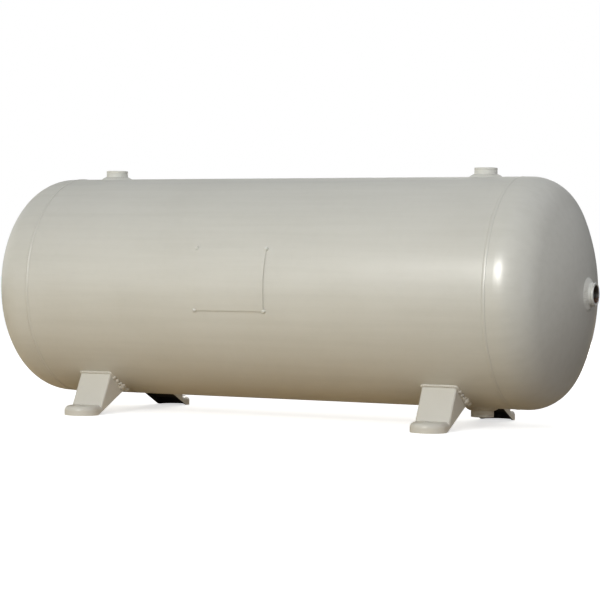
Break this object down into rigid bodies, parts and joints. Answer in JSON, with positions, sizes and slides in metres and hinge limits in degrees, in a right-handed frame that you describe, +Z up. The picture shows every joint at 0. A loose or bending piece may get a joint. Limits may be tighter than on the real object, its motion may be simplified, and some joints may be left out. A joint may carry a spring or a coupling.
{
  "type": "horizontal pressure tank",
  "caption": "Horizontal steel air receiver with dished heads, pipe couplings and pressed feet.",
  "frame": {"origin": "on the floor under the middle of the tank", "axes": "X along the tank with the bottom port at +X, -Y the side with the data plate, Z up"},
  "size_m": [2.1686, 0.7696, 0.854],
  "materials": {
    "tank_paint": "semi-gloss cream-grey enamel",
    "weld_paint": "semi-gloss enamel over weld beads",
    "foot_paint": "semi-gloss enamel over pressed steel",
    "coupling_paint": "semi-gloss enamel outside, bare thread inside",
    "plate_paint": "semi-gloss enamel over a bare plate"
  },
  "bodies": {
    "root": {"shell": "tank_paint", "left_head": "tank_paint", "right_head": "tank_paint", "left_girth_weld": "weld_paint", "right_girth_weld": "weld_paint", "long_seam_weld": "weld_paint", "front_left_foot": "foot_paint", "back_left_foot": "foot_paint", "front_right_foot": "foot_paint", "back_right_foot": "foot_paint", "front_left_foot_weld": "weld_paint", "back_left_foot_weld": "weld_paint", "front_right_foot_weld": "weld_paint", "back_right_foot_weld": "weld_paint", "top_left_coupling": "coupling_paint", "top_right_coupling": "coupling_paint", "bottom_coupling": "coupling_paint", "left_end_coupling": "coupling_paint", "right_end_coupling": "coupling_paint", "top_left_coupling_weld": "weld_paint", "top_right_coupling_weld": "weld_paint", "bottom_coupling_weld": "weld_paint", "left_end_coupling_weld": "weld_paint", "right_end_coupling_weld": "weld_paint", "data_plate": "plate_paint", "plate_tacks": "weld_paint"}
  },
  "joints": []
}
